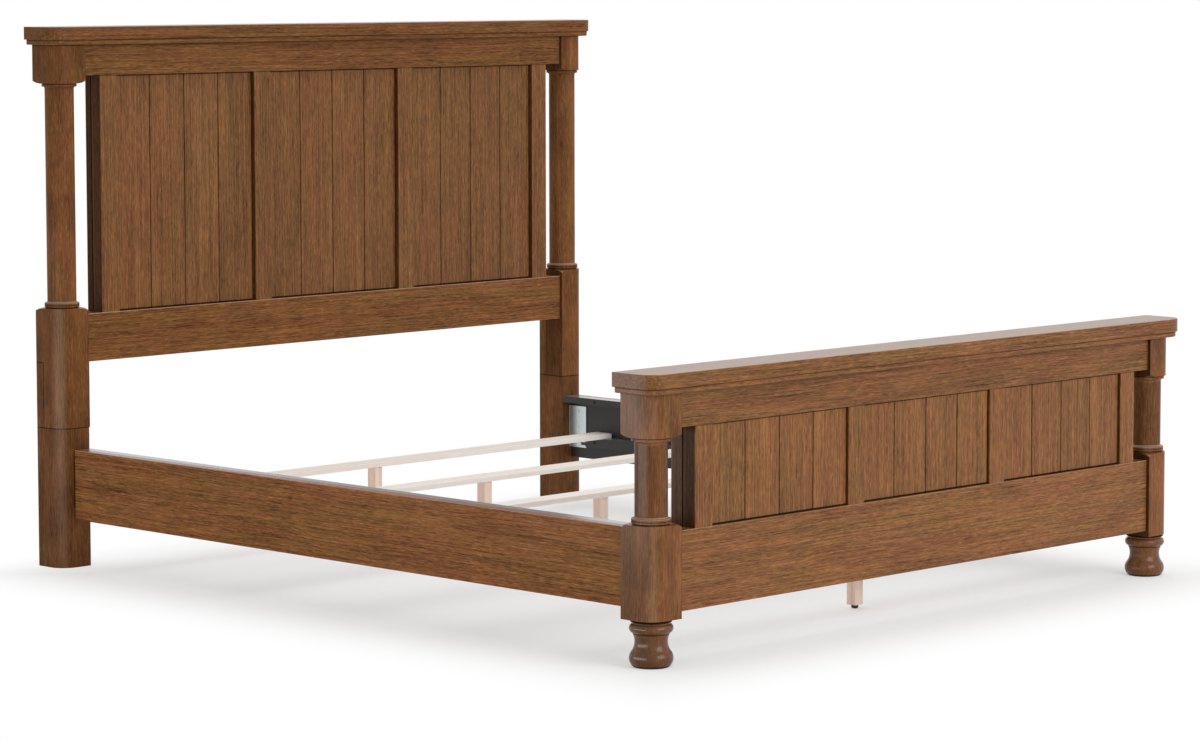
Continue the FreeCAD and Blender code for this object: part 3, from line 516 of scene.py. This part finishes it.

# %% [markdown]
# The posts are turned from square blanks. Painted shade lines lie in the grooves of the turned rings and over
# the posts' tops, and the blocks' inner faces, which stand in the corner with the rails where little light
# comes, are painted darker. The buns get painted shade in a groove under the block and one under their bead,
# and a painted contact shadow at their edge on the floor.
# Each line could be a cut in the solid, but a cut of half a millimetre is lost between two pixels. So it is a
# soft mask of painted shade in the colour, with its place and reach in metres and the share of light that it
# leaves. The heights are counted from each post's own top and from its lower block, as on the lathe.

# %% Lines of the turned pieces
block_top = {"head": 0.7205, "foot": 0.342}
upper_block_height = 0.1065
post_inside = {end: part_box(end + "_post_right")[0].x for end in block_top}
inside_left = {"head": 0.65, "foot": 0.42}
ring_shade_lines = ((0.0017, 0.0022), (0.0085, 0.0014))
line_left = 0.25
block_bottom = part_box("foot_bun_left")[1].z
bead_groove = 0.0805


def turned_seams(end, top):
    """The painted shade lines of a post, given its end of the bed and its top."""
    def lines(x, y, z):
        inside = post_inside[end]
        rings = [(near(z, block_top[end] + height, reach), line_left) for height, reach in ring_shade_lines]
        return rings + [(near(z, top - upper_block_height - 0.0008, 0.0016), line_left),
                        (ramp(z, top - 0.004, top - 0.001), 0.40),
                        (ramp(abs(x), inside + 0.0016, inside + 0.0006), inside_left[end])]
    return lines


# painted shade in the bun's two grooves, and a painted contact shadow along its edge on the floor
def bun_seams(x, y, z):
    return [(ramp(z, block_bottom - 0.0075, block_bottom - 0.0045), 0.12),
            (near(z, bead_groove, 0.0022), 0.5),
            (ramp(z, 0.008, 0.002), 0.35)]


print("posts' inner faces, in metres from the middle:", {end: round(x, 4) for end, x in post_inside.items()})

# %% [markdown]
# The headboard's legs are separate pieces, half lapped behind the posts' lower blocks. The joint shows as a
# line round the post's foot, one up its side and one over the leg's tongue. The solids touch there and leave
# no gap that light could show, so the lines are drawn in the stain too.

# %% Lines of the half lap
lap_bottom = 0.388
lap_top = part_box("head_bottom_rail")[0].z
lap_depth = 0.032
lap_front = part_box("head_post_left")[1].y - lap_depth


def lap_seams(x, y, z):
    lapped = ramp(z, lap_bottom - 0.001, lap_bottom) * ramp(z, lap_top + 0.001, lap_top)
    behind = ramp(y, lap_front - 0.001, lap_front)
    return [(near(z, lap_bottom, 0.0020), 0.22),
            (near(y, lap_front, 0.0018) * lapped, line_left),
            (near(z, lap_top, 0.0018) * behind, line_left)]


def head_post_seams(top):
    rings = turned_seams("head", top)
    return lambda x, y, z: rings(x, y, z) + lap_seams(x, y, z)


print("lap from", round(lap_bottom, 3), "to", round(lap_top, 4), "m high")

# %% [markdown]
# The foot's columns took more stain than their blocks, and the head's took less. The round corners get a
# painted sheen, a paler colour where a glossy corner mirrors the light: on the head's lower blocks and legs,
# and on both blocks at the foot. The foot has more lacquer, and the buns are the glossiest pieces of the bed.
# A post could be split into a column and two blocks with a finish each. It is one piece of wood, though, so
# one finish changes with the height.

# %% Posts, legs and bun feet
base_ring_height = 0.017
collar_height = 0.016
ring_softness = 0.003
column_tone = {"head": 1.11, "foot": 0.69}


def on_column(end, top, z):
    """1 on a post's round column, 0 on its blocks."""
    low = block_top[end] + base_ring_height
    high = top - upper_block_height - collar_height
    return (ramp(z, low - ring_softness, low + ring_softness)
            * ramp(z, high + ring_softness, high - ring_softness))


def column_stain(end, top):
    return lambda x, y, z: [(on_column(end, top, z), column_tone[end])]


def lower_block_rub(end, strength):
    return lambda x, y, z: ramp(z, block_top[end] + 0.001, block_top[end]) * strength


def both_blocks_rub(end, top, strength):
    return lambda x, y, z: (1 - on_column(end, top, z)) * strength


def whole_rub(strength):
    return lambda x, y, z: strength


for number, side in enumerate(("left", "right")):
    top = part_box("head_post_" + side)[1].z
    finish_in_oak("head_post_" + side, "z", 1 + number, turned_figure, brightness=0.85, arris=0.3,
                  lacquer=0.18, seams=head_post_seams(top), stains=column_stain("head", top),
                  rub=lower_block_rub("head", 0.065))
    finish_in_oak("head_leg_" + side, "z", 3 + number, turned_figure, brightness=0.77, arris=0.2,
                  lacquer=0.18, seams=lap_seams, rub=whole_rub(0.055))
    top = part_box("foot_post_" + side)[1].z
    finish_in_oak("foot_post_" + side, "z", 5 + number, turned_figure, brightness=0.87, arris=0.3,
                  lacquer=0.45, satin=0.24, seams=turned_seams("foot", top), stains=column_stain("foot", top),
                  rub=both_blocks_rub("foot", top, 0.06))
    finish_in_oak("foot_bun_" + side, "z", 7 + number, bun_figure, brightness=0.67, arris=0.0, lacquer=1.0,
                  satin=0.22, seams=bun_seams)
print("posts, legs and buns done")

# %% [markdown]
# The crowns and rails run across the bed, and so does their grain. A crown board lies on its moulding and a
# rail under it, and the shade under each overhang is painted as a dark line along the top of the piece below.
# The side rails run along the bed, and their inner half is painted. They could all share one oak. Each gets
# its own, so no two boards show the same grain, and each is as light as the photograph shows it.

# %% Crowns and rails
crossing_pieces = ("crown_board", "crown_moulding", "top_rail", "bottom_rail")
crossing_tone = {"head": (0.85, 0.92, 0.94, 1.0), "foot": (0.93, 0.93, 0.85, 1.02)}
crossing_lacquer = {"head": 0.3, "foot": 0.6}
rail_sway = 0.014
board_inside = 0.9583


# painted shade: a dark line at the top of a piece, where the piece above overhangs it
def shade_under_crown(top):
    return lambda x, y, z: [(ramp(z, top - 0.004, top - 0.0015), 0.5)]


for number, end in enumerate(("head", "foot")):
    for step, piece in enumerate(crossing_pieces):
        node = end + "_" + piece
        seams = shade_under_crown(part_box(node)[1].z) if piece in ("crown_moulding", "top_rail") else None
        arris = 0.75 if node == "head_bottom_rail" else 0.3
        finish_in_oak(node, "x", 11 + step * 2 + number, rail_figure, brightness=crossing_tone[end][step],
                      sway=rail_sway, arris=arris, lacquer=crossing_lacquer[end], seams=seams)
for number, side in enumerate(("left", "right")):
    finish_in_oak("side_rail_" + side, "y", 41 + number, rail_figure, brightness=1.40, sway=rail_sway,
                  arris=0.5, lacquer=0.1, back=(0, board_inside))
print("crowns and rails done")

# %% [markdown]
# The panels are stiles with planks between them, all upright. The planks lie behind the stiles, so the
# stiles' sides stand in the shade, which is painted into their colour, and painted shade lines close the
# planks' upper and lower ends. Each plank has a chamfer at both edges, and two chamfers meet in a fine groove
# whose shade is painted dark.
# The boards of one layer come as one node. To split it would change the model, so the finish tells the boards
# apart by their place across the bed.

# %% Stiles and planks
stile_tone = {"head": 0.98, "foot": 1.0}
bay_tone = {"head": (0.98, 0.97, 0.96), "foot": (1.01, 1.0, 0.96)}
stile_width = 0.060
bays = 3
planks_per_bay = 4
# the share of light that the painted shade leaves on the stiles' sides, the rear stiles and the chamfers
side_left = {"head": 0.50, "foot": 0.42}
rear_left = {"head": 0.42, "foot": 0.60}
chamfer_left = {"head": 0.30, "foot": 0.20}


def stile_seams(front, rail_bottom, left):
    """Painted shade on a stile's side behind its front, and under the top rail."""
    return lambda x, y, z: [(ramp(y, front + 0.0015, front + 0.005), left),
                            (ramp(z, rail_bottom - 0.0028, rail_bottom - 0.0012), 0.55)]


def rear_stile_shade(back, left):
    """Painted shade on all of a rear stile but its back."""
    return lambda x, y, z: [(ramp(y, back - 0.0015, back - 0.005), left)]


def plank_seams(low, rail_bottom, left):
    """Painted shade in a plank's chamfers, at its lower end and under the top rail."""
    return lambda x, y, z: [(ramp(y, low.y + 0.0003, low.y + 0.0016), left),
                            (ramp(z, low.z + 0.0045, low.z + 0.0030), 0.12),
                            (ramp(z, rail_bottom - 0.0050, rail_bottom - 0.0025), 0.30)]


for number, end in enumerate(("head", "foot")):
    low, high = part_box(end + "_stiles")
    stiles = (0, low.x, (high.x - low.x - stile_width) / bays)
    rail_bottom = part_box(end + "_top_rail")[0].z
    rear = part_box(end + "_rear_stiles")[1].y
    finish_in_oak(end + "_stiles", "z", 21 + number, plank_figure, boards=stiles, brightness=stile_tone[end],
                  seams=stile_seams(low.y, rail_bottom, side_left[end]))
    finish_in_oak(end + "_rear_stiles", "z", 23 + number, plank_figure, boards=stiles,
                  seams=rear_stile_shade(rear, rear_left[end]))
    for bay in range(1, bays + 1):
        node = "%s_planks_bay_%d" % (end, bay)
        low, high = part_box(node)
        planks = (0, low.x, (high.x - low.x) / planks_per_bay)
        finish_in_oak(node, "z", 31 + bay * 2 + number, plank_figure, boards=planks,
                      brightness=bay_tone[end][bay - 1],
                      seams=plank_seams(low, rail_bottom, chamfer_left[end]))
print("panels done")

# %% [markdown]
# The slats and their legs are bare pine, which is nearly white, with soft rings. The panels' cores are
# plywood that took the stain, and the crown's dowels are beech. The oak's recipe would give them pores and
# flecks that they don't have, so a shorter one with other colours makes all four.

# %% Pine, plywood and dowels
ring_grains = (0.8, 60, 60)
ring_range = (0.45, 0.72)
fine_fibre_grains = (12, 420, 420)
fine_fibre_range = (0.5, 0.8)


def plain_wood(name, grain, light, dark):
    """Bare wood: pale, with wide soft rings and fine fibres."""
    material, field = begin(name)
    spot = place_axes(field)
    axes = [spot[axis] for axis in grain_order[grain]]
    ring = noise(axes, ring_grains)
    fibre = noise(axes, fine_fibre_grains, 3.0, 0.6)
    colour = mixed(light, dark, ramp(ring, *ring_range) * 0.7)
    colour = mixed(colour, dark, ramp(fibre, *fine_fibre_range) * 0.5)
    bump = field.node("ShaderNodeBump", {}, {"Strength": 0.25, "Distance": 0.0003, "Height": fibre})
    surface(field, field.node("ShaderNodeBsdfPrincipled", {}, {
        "Base Color": colour, "Roughness": 0.55 + fibre * 0.15, "Normal": bump, "Specular IOR Level": 0.2}))
    return material


slat_count = 5
slat_pine = plain_wood("pine slat", "x", paint(255, 249, 243), paint(253, 232, 219))
leg_pine = plain_wood("pine leg", "z", paint(255, 234, 218), paint(246, 200, 176))
dowel_beech = plain_wood("dowel wood", "z", paint(205, 168, 130), paint(180, 140, 104))
plywood = plain_wood("stained plywood", "z", paint(104, 70, 44), paint(78, 50, 32))
for number in range(1, slat_count + 1):
    finish("slat_%d" % number, slat_pine)
    finish("slat_leg_%d" % number, leg_pine)
finish("crown_dowels", dowel_beech)
for end in ("head", "foot"):
    finish(end + "_core_panel", plywood)
for side in ("left", "right"):
    finish("rail_batten_" + side, charcoal)
    finish("rail_ledge_" + side, charcoal)
print("painted and bare timber done")

# %% [markdown]
# The plates, screws, inserts and glides are small, but a rail's zinc plate shows white in the photograph.
# Zinc plating is a cool grey with a faint spangle. Each crystal could be drawn, but a soft cloud of the same
# size looks alike from here. Where a plate runs into the joint between a rail and its post it is painted
# dark, as painted shade, or its edge would glint through the joint.
# The glides are matt black plastic, and the caps over the leg bolts off white.

# %% Metal and plastic
gap_starts = 0.001
gap_dark = 0.006
gap_light_left = 0.03


def hardware(name, first, second, metallic, roughness, grains, gap=None):
    """gap is how far from the bed's middle a plate goes into the joint between a rail and its post, where it
    is painted dark as shade.
    """
    material, field = begin(name)
    spot = place_axes(field)
    cloud = noise(spot, (grains, grains, grains), 3.0)
    colour = mixed(first, second, cloud)
    if gap:
        # painted shade: the plate is darkened where it runs into the joint
        gap_shade = ramp(abs(spot[0]), gap + gap_starts, gap + gap_dark)
        colour = shaded(colour, light_left([(gap_shade, gap_light_left)]))
    bump = field.node("ShaderNodeBump", {}, {"Strength": 0.15, "Distance": 0.0002, "Height": cloud})
    surface(field, field.node("ShaderNodeBsdfPrincipled", {}, {
        "Base Color": colour, "Metallic": metallic, "Roughness": roughness + cloud * 0.15, "Normal": bump}))
    return material


dull_zinc = paint(184, 192, 192)
bright_zinc = paint(214, 222, 222)
zinc = hardware("zinc plate", dull_zinc, bright_zinc, metallic=0.9, roughness=0.32, grains=120)
plate_zinc = hardware("zinc plate of the rails", dull_zinc, bright_zinc, metallic=0.9, roughness=0.32,
                      grains=120, gap=board_inside)
black_steel = hardware("black steel", paint(26, 25, 25), paint(44, 43, 42), metallic=0.6, roughness=0.42,
                       grains=300)
glide_black = hardware("glide plastic", paint(18, 18, 19), paint(32, 32, 33), metallic=0.0, roughness=0.5,
                       grains=500)
cap_white = hardware("cap plastic", paint(236, 233, 228), paint(248, 246, 242), metallic=0.0, roughness=0.4,
                     grains=300)
for node in ("hook_plates_left", "hook_plates_right", "slot_plates"):
    finish(node, plate_zinc)
for node in ("plate_screws", "leg_inserts", "leg_bolts", "slat_screws"):
    finish(node, zinc)
for node in ("rail_screws", "frame_bolts"):
    finish(node, black_steel)
finish("leg_bolt_caps", cap_white)
for number in range(1, slat_count + 1):
    finish("leg_glide_%d" % number, glide_black)
bare = [name for name, node in nodes.items() if not node.data.materials]
print("nodes without a finish:", bare)

# %% [markdown] The box of the CAD model stays in cad_box.
# The shown bed must not be larger than the CAD model.
